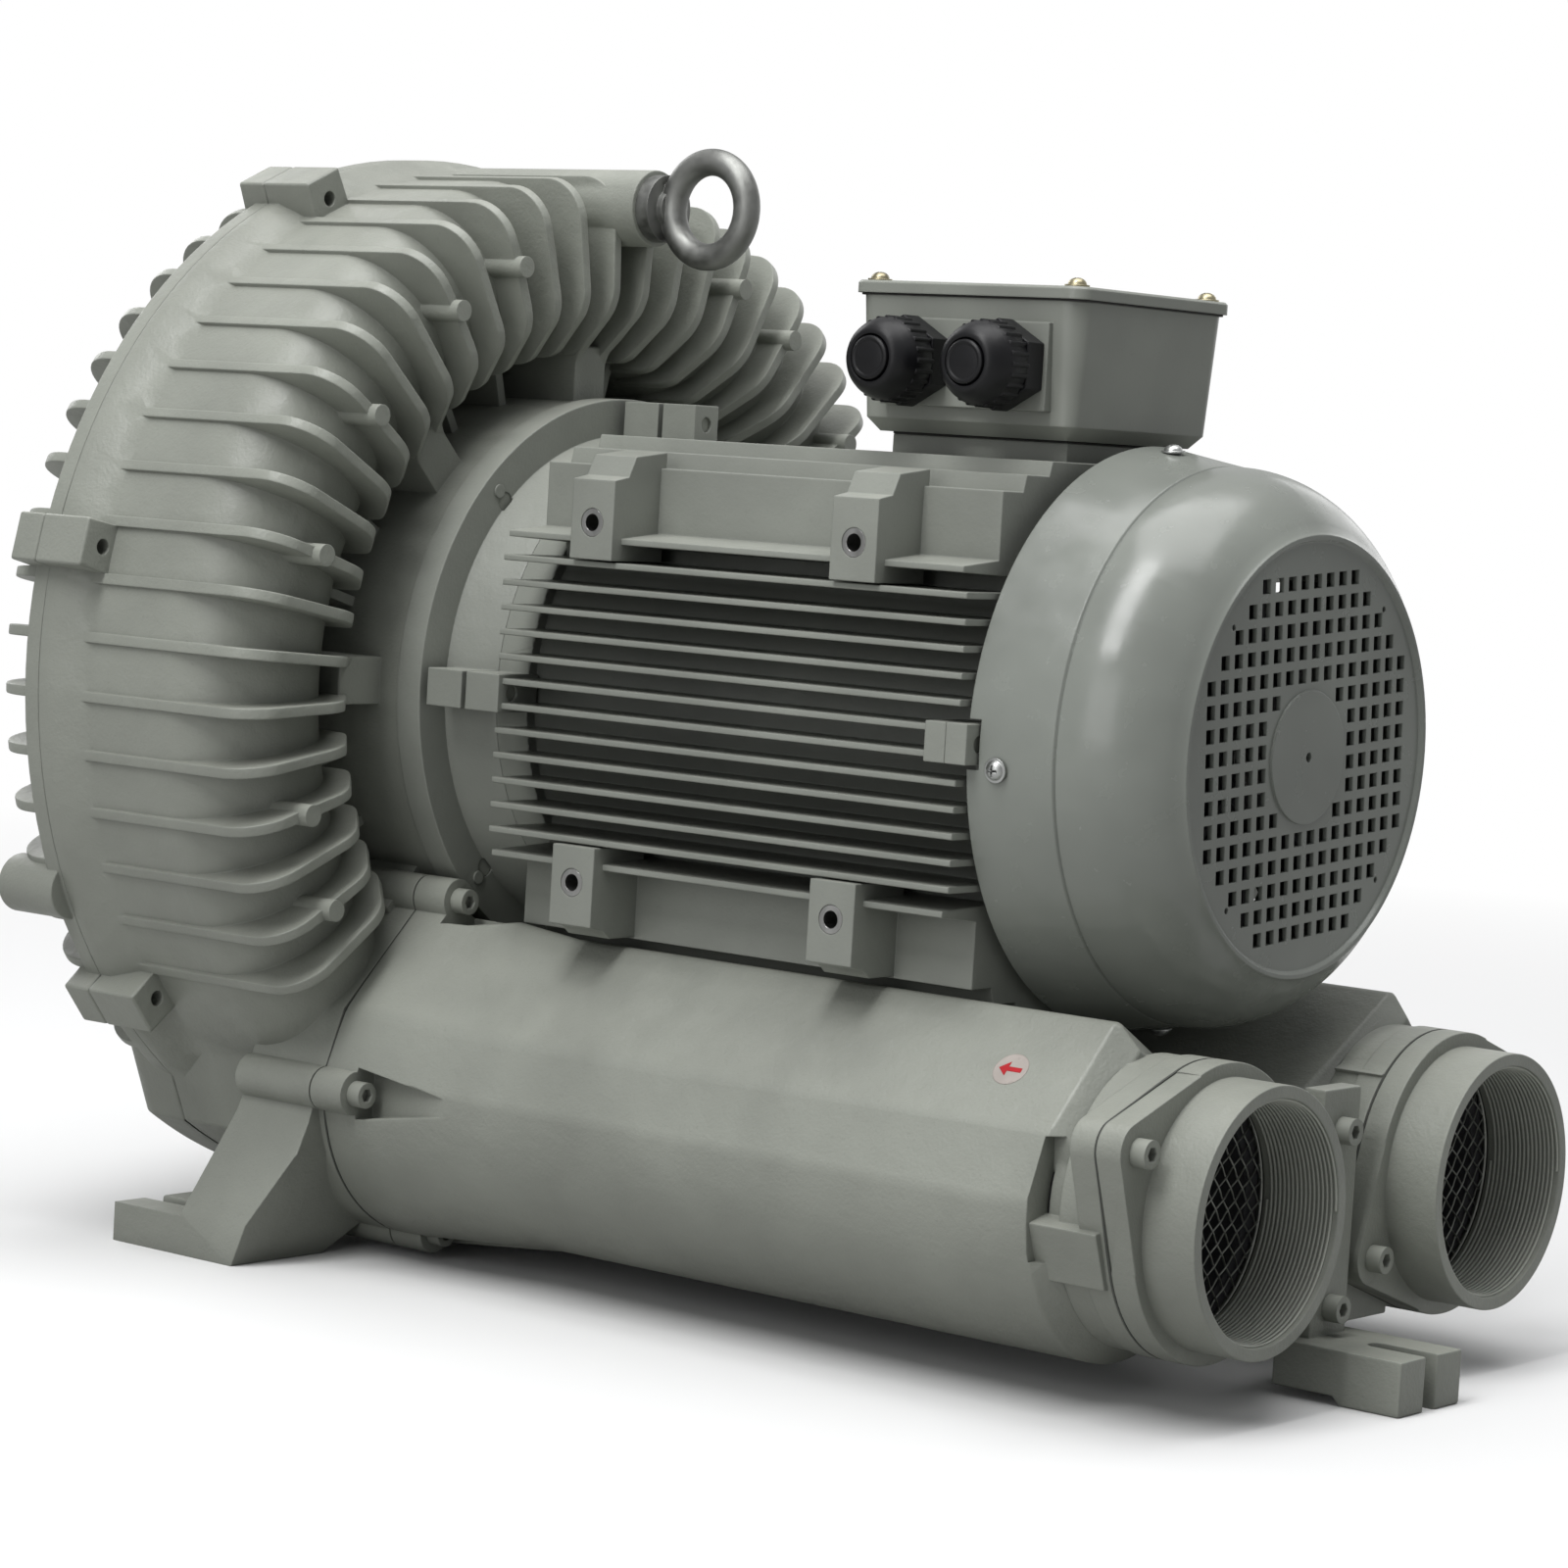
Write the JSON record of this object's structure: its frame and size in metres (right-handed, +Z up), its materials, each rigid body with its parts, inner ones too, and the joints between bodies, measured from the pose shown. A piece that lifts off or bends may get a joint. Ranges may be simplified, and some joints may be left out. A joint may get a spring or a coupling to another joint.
{
  "type": "side channel blower",
  "caption": "Electric side channel blower: finned ring casing with a vaned wheel, flange motor with fan cowl and terminal box, two silencers with round threaded ports, feet and lifting eye.",
  "frame": {"origin": "on the floor under the middle of the machine's outline", "axes": "+Z up, the motor axis level along Y, the ports and the fan cowl towards -Y, the blower cover towards +Y, the cable glands towards -X"},
  "size_m": [0.5594, 0.707, 0.5765],
  "materials": {
    "casing_paint": "semi-gloss grey paint on aluminium castings",
    "cowl_paint": "smooth grey paint on pressed sheet",
    "rotor_steel": "turned steel",
    "zinc_steel": "zinc-plated",
    "yellow_zinc": "yellow-passivated zinc",
    "cast_alloy": "raw cast aluminium",
    "core_steel": "stacked sheet steel",
    "copper": "enamelled copper wire",
    "black_plastic": "moulded",
    "board_plastic": "moulded phenolic",
    "gasket_rubber": "sheet",
    "foam": "open-cell foam",
    "wire": "steel wire"
  },
  "bodies": {
    "casing": {"blower_housing": "casing_paint", "blower_cover": "casing_paint", "cover_bolts": "zinc_steel", "lifting_eyebolt": "zinc_steel", "shaft_seal": "rotor_steel", "drive_bearing_outer": "rotor_steel", "rear_bearing_outer": "rotor_steel", "preload_spring": "rotor_steel", "stator_core": "core_steel", "stator_windings": "copper", "motor_frame": "casing_paint", "foot_inserts": "rotor_steel", "drive_end_flange": "casing_paint", "rear_end_shield": "casing_paint", "flange_bolts": "zinc_steel", "shield_studs": "zinc_steel", "fan_cowl": "cowl_paint", "cowl_screws": "zinc_steel", "terminal_box": "casing_paint", "box_gasket": "gasket_rubber", "lid_gasket": "gasket_rubber", "terminal_lid": "casing_paint", "lid_screws": "yellow_zinc", "terminal_board": "board_plastic", "terminal_studs": "yellow_zinc", "gland_bodies": "black_plastic", "gland_nuts": "black_plastic", "gland_plugs": "black_plastic", "silencer_left": "casing_paint", "silencer_right": "casing_paint", "silencer_gasket_left": "gasket_rubber", "silencer_gasket_right": "gasket_rubber", "silencer_liner_left": "foam", "silencer_liner_right": "foam", "silencer_bolts": "zinc_steel", "port_flange_left": "casing_paint", "port_flange_right": "casing_paint", "port_gasket_left": "gasket_rubber", "port_gasket_right": "gasket_rubber", "port_screen_left": "wire", "port_screen_right": "wire", "port_bolts": "zinc_steel", "rear_foot": "casing_paint", "rear_foot_bolts": "zinc_steel"},
    "rotor": {"motor_shaft": "rotor_steel", "rotor_core": "core_steel", "rotor_cage": "cast_alloy", "drive_bearing_inner": "rotor_steel", "rear_bearing_inner": "rotor_steel", "impeller": "cast_alloy", "impeller_key": "rotor_steel", "impeller_washer": "zinc_steel", "impeller_screw": "zinc_steel", "cooling_fan": "black_plastic", "fan_circlip": "rotor_steel"},
    "drive_rollers": {"drive_bearing_rollers": "rotor_steel"},
    "rear_rollers": {"rear_bearing_rollers": "rotor_steel"}
  },
  "joints": [
    {"name": "rotor_spin", "type": "hinge", "parent": "casing", "child": "rotor", "pos_m": [0, 0, 0.295], "axis": [0, 1, 0], "continuous": true},
    {"name": "drive_rollers_orbit", "type": "hinge", "parent": "casing", "child": "drive_rollers", "pos_m": [0, 0.1475, 0.295], "axis": [0, 1, 0], "continuous": true},
    {"name": "rear_rollers_orbit", "type": "hinge", "parent": "casing", "child": "rear_rollers", "pos_m": [0, -0.1495, 0.295], "axis": [0, 1, 0], "continuous": true}
  ],
  "couplings": [
    {"joint": "drive_rollers_orbit", "follows": "rotor_spin", "ratio": 0.38461},
    {"joint": "rear_rollers_orbit", "follows": "rotor_spin", "ratio": 0.38461}
  ]
}
